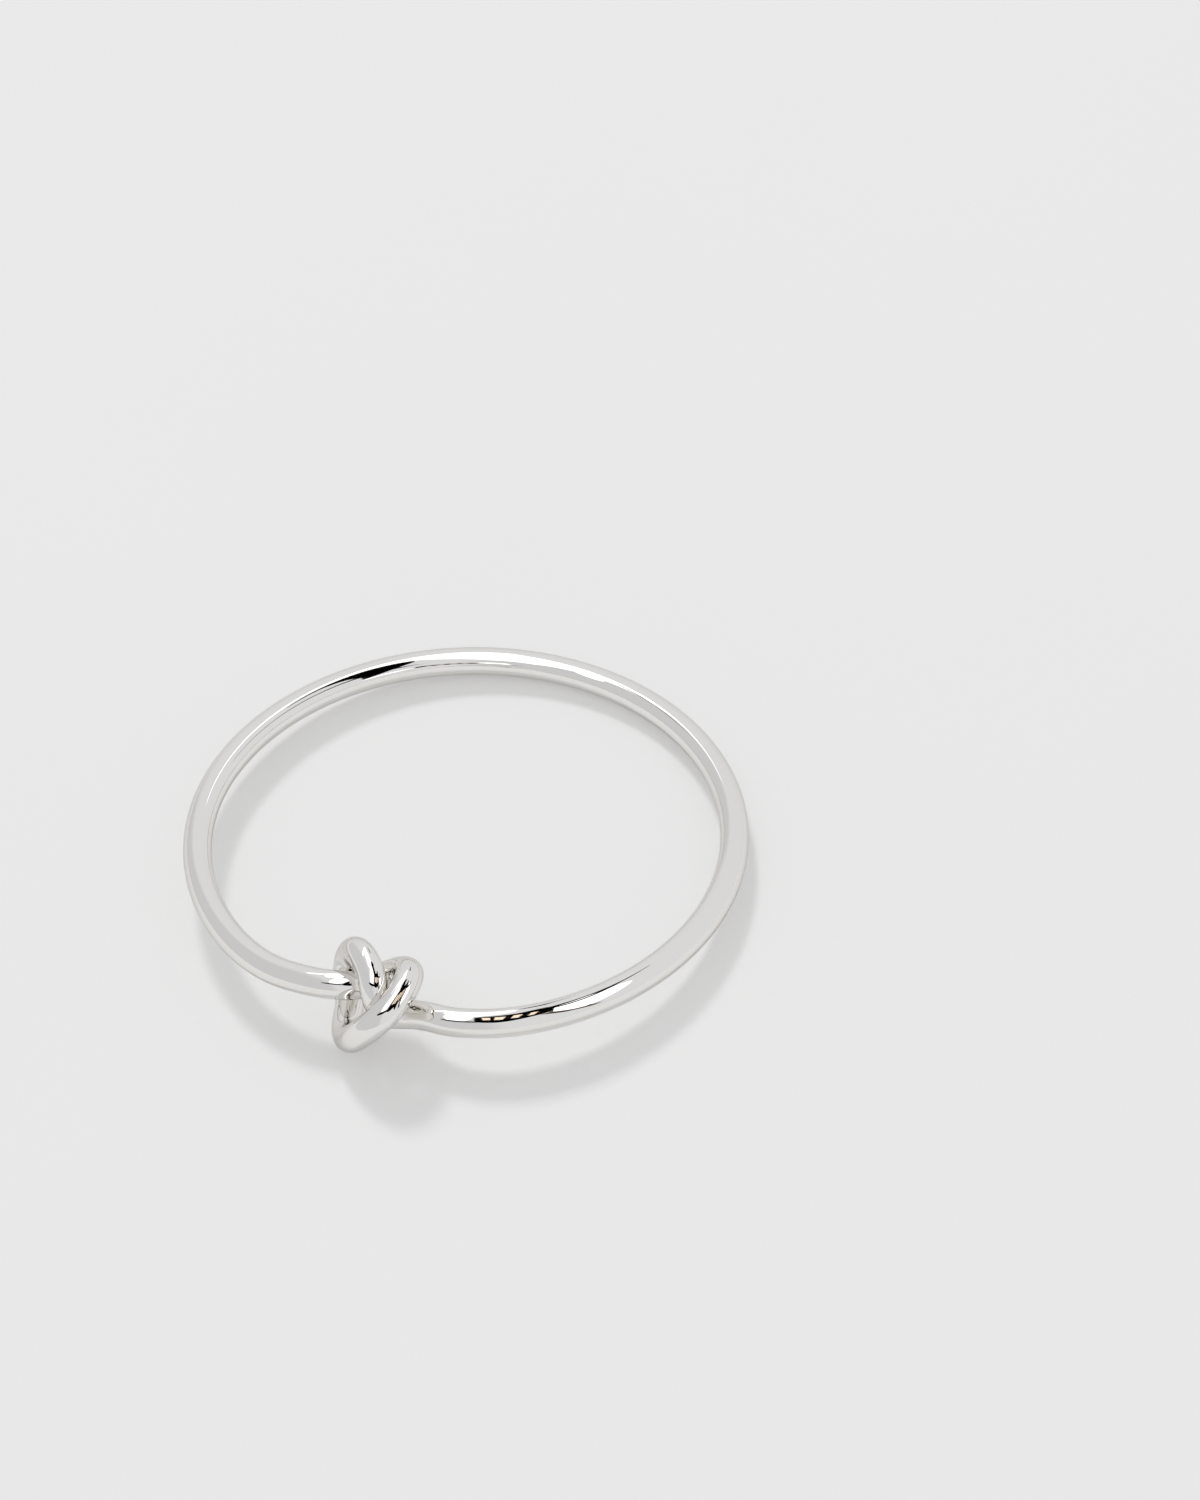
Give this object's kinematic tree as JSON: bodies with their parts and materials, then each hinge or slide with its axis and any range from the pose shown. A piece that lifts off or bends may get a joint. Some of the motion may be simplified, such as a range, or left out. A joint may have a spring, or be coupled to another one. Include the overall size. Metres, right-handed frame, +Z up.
{
  "type": "stackable knot ring",
  "caption": "Thin stackable finger ring of round polished silver wire, a plain hoop tied in an overhand knot at the front",
  "frame": {"origin": "the ring lies on its side as on a table, and the origin is the middle of its bounding box's underside, on the table", "axes": "+Z is up, about along the finger's axis; the knot faces -Y, so +Y points across the hoop away from it; +X is to the right of someone who looks at the knot from outside"},
  "size_m": [0.0194, 0.02, 0.0032],
  "materials": {
    "polished_silver": "mirror-polished silver"
  },
  "bodies": {
    "root": {"knot_ring": "polished_silver"}
  },
  "joints": []
}
